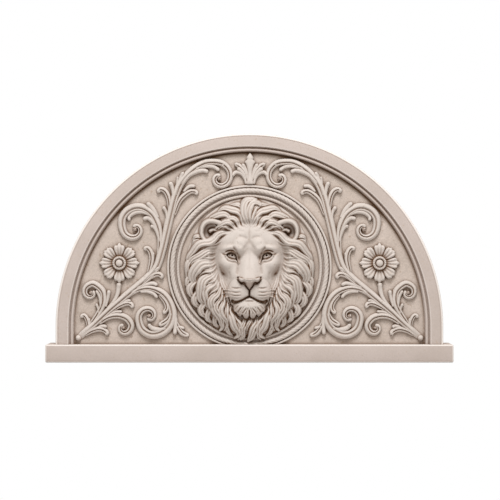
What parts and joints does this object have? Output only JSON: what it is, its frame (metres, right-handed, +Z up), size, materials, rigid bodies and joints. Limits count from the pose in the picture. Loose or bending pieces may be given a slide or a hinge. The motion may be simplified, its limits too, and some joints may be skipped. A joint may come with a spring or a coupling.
{
  "type": "tympanum panel",
  "caption": "Half-round cast stone overdoor panel on a plain sill, its moulded arch framing a lion's head medallion, acanthus scrolls, rosettes and a palmette.",
  "frame": {"origin": "centre of the sill's underside", "axes": "+Z up, +X along the sill to the right as seen from the front, front faces -Y, flat back faces +Y"},
  "size_m": [1.224, 0.1529, 0.687],
  "materials": {
    "panel_stone": "fine-grained cast limestone, matt, pale on the high relief and browner in the hollows",
    "sill_stone": "fine-grained cast limestone, matt"
  },
  "bodies": {
    "root": {"panel": "panel_stone", "sill": "sill_stone"}
  },
  "joints": []
}
